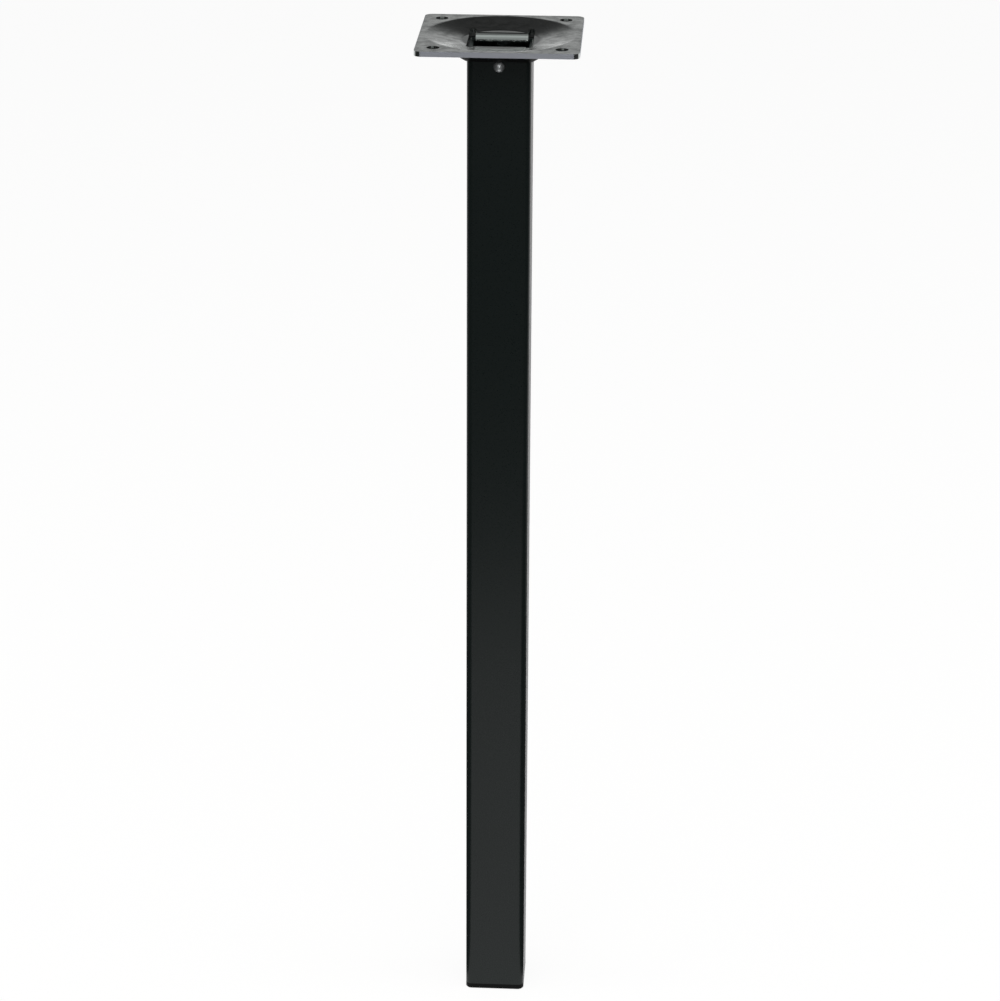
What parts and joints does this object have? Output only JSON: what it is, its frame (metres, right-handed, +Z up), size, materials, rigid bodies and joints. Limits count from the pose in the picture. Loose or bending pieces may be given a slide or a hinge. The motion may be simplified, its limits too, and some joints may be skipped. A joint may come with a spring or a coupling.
{
  "type": "table leg",
  "caption": "Square steel tube furniture leg with a dished screw-on top plate, a tapered collar and a plastic foot plug.",
  "frame": {"origin": "middle of the foot's underside, on the ground", "axes": "+Z up along the tube, towards the top plate; +Y towards the rear rivet; +X to the right seen from the front"},
  "size_m": [0.063, 0.063, 0.42],
  "materials": {
    "zinc_plated_steel": "zinc plated, satin",
    "black_powder_coat": "black powder coat, satin",
    "black_collar_plastic": "moulded black plastic",
    "rivet_steel": "zinc plated, bright",
    "black_foot_plastic": "moulded black plastic"
  },
  "bodies": {
    "root": {"mounting_plate": "zinc_plated_steel", "leg_tube": "black_powder_coat", "top_collar": "black_collar_plastic", "front_rivet": "rivet_steel", "rear_rivet": "rivet_steel", "foot_plug": "black_foot_plastic"}
  },
  "joints": []
}
